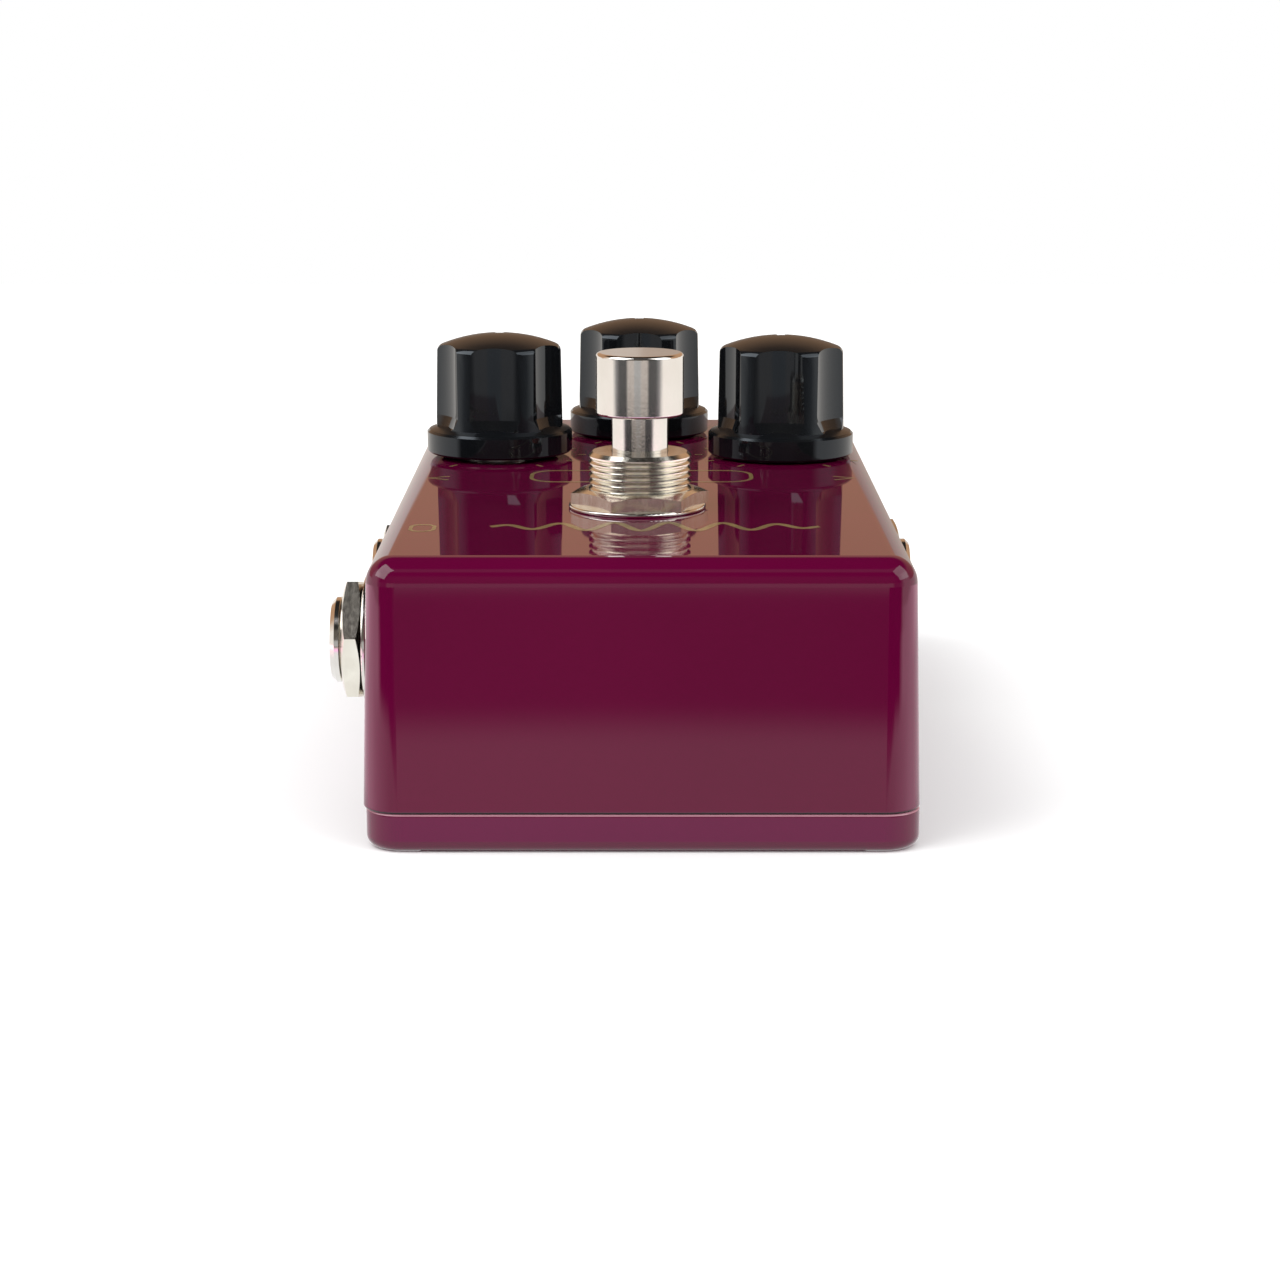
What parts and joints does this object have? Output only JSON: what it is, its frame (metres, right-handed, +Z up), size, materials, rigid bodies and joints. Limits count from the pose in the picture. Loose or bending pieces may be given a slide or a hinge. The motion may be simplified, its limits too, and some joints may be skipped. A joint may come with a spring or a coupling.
{
  "type": "guitar effects pedal",
  "caption": "Compact guitar effects pedal: glossy die-cast box with fluted knobs, a plated latching footswitch and side jacks.",
  "frame": {"origin": "centre of the footprint, on the surface that the pedal stands on", "axes": "+X to the player's right, +Y to the rear of the pedal, +Z up"},
  "size_m": [0.0688, 0.112, 0.0501],
  "materials": {
    "painted_box": "gloss",
    "painted_cover": "gloss",
    "screw_steel": "satin",
    "knob_plastic": "gloss",
    "brass": "satin",
    "set_screw_steel": "satin",
    "shaft_alloy": "satin",
    "pot_metal": "satin",
    "pot_base_board": "matte",
    "tinned_pins": "satin",
    "plated_hardware": "polished",
    "switch_chrome": "polished",
    "machined_nickel": "satin",
    "switch_plastic": "satin",
    "circuit_board": "satin",
    "spring_steel": "polished",
    "jack_plating": "polished",
    "insulating_board": "matte",
    "contact_alloy": "polished",
    "black_plastic": "satin",
    "lens_plastic": "clear",
    "chip_epoxy": "matte",
    "capacitor_sleeve": "gloss",
    "film_box": "gloss",
    "resistor_enamel": "satin",
    "wire_sleeving": "satin"
  },
  "bodies": {
    "enclosure": {"enclosure_body": "painted_box", "bottom_cover": "painted_cover", "cover_screws": "screw_steel", "left_pot_housing": "pot_metal", "right_pot_housing": "pot_metal", "rear_pot_housing": "pot_metal", "pot_bases": "pot_base_board", "pot_pins": "tinned_pins", "pot_washers": "plated_hardware", "pot_nuts": "machined_nickel", "footswitch_frame": "machined_nickel", "footswitch_case": "switch_plastic", "footswitch_lugs": "tinned_pins", "footswitch_board": "circuit_board", "footswitch_spring": "spring_steel", "footswitch_lock_nut": "machined_nickel", "footswitch_lock_washer": "plated_hardware", "footswitch_washer": "switch_chrome", "footswitch_nut": "machined_nickel", "footswitch_cable": "wire_sleeving", "input_jack_frame": "jack_plating", "output_jack_frame": "jack_plating", "expression_jack_frame": "jack_plating", "jack_insulators": "insulating_board", "jack_tip_springs": "contact_alloy", "expression_ring_spring": "contact_alloy", "jack_nuts": "machined_nickel", "jack_washers": "plated_hardware", "jack_leads": "wire_sleeving", "power_jack_housing": "black_plastic", "power_jack_pin": "plated_hardware", "power_jack_contact": "contact_alloy", "power_jack_tags": "tinned_pins", "status_light_bezel": "plated_hardware", "status_light_lens": "lens_plastic", "status_light_leads": "tinned_pins", "main_board": "circuit_board", "chip_packages": "chip_epoxy", "chip_legs": "tinned_pins", "optocoupler": "chip_epoxy", "electrolytic_capacitors": "capacitor_sleeve", "film_capacitors": "film_box", "resistors": "resistor_enamel", "resistor_leads": "tinned_pins", "transistors": "chip_epoxy"},
    "left_control": {"left_knob": "knob_plastic", "left_knob_insert": "brass", "left_knob_setscrew": "set_screw_steel", "left_pot_shaft": "shaft_alloy"},
    "right_control": {"right_knob": "knob_plastic", "right_knob_insert": "brass", "right_knob_setscrew": "set_screw_steel", "right_pot_shaft": "shaft_alloy"},
    "rear_control": {"rear_knob": "knob_plastic", "rear_knob_insert": "brass", "rear_knob_setscrew": "set_screw_steel", "rear_pot_shaft": "shaft_alloy"},
    "footswitch_button": {"footswitch_cap": "switch_chrome", "footswitch_stem": "switch_chrome"}
  },
  "joints": [
    {"name": "left_knob_turn", "type": "hinge", "parent": "enclosure", "child": "left_control", "pos_m": [-0.01845, 0.0195, 0.036], "axis": [0, 0, 1], "range_deg": [-150, 150]},
    {"name": "right_knob_turn", "type": "hinge", "parent": "enclosure", "child": "right_control", "pos_m": [0.01814, 0.0195, 0.036], "axis": [0, 0, 1], "range_deg": [-150, 150]},
    {"name": "rear_knob_turn", "type": "hinge", "parent": "enclosure", "child": "rear_control", "pos_m": [-0.0003, 0.0397, 0.036], "axis": [0, 0, 1], "range_deg": [-150, 150]},
    {"name": "footswitch_press", "type": "slide", "parent": "enclosure", "child": "footswitch_button", "axis": [0, 0, -1], "range_m": [0, 0.003], "stiffness_N_per_m": 4000, "springref_m": -0.002, "deforming": ["footswitch_spring"]}
  ]
}
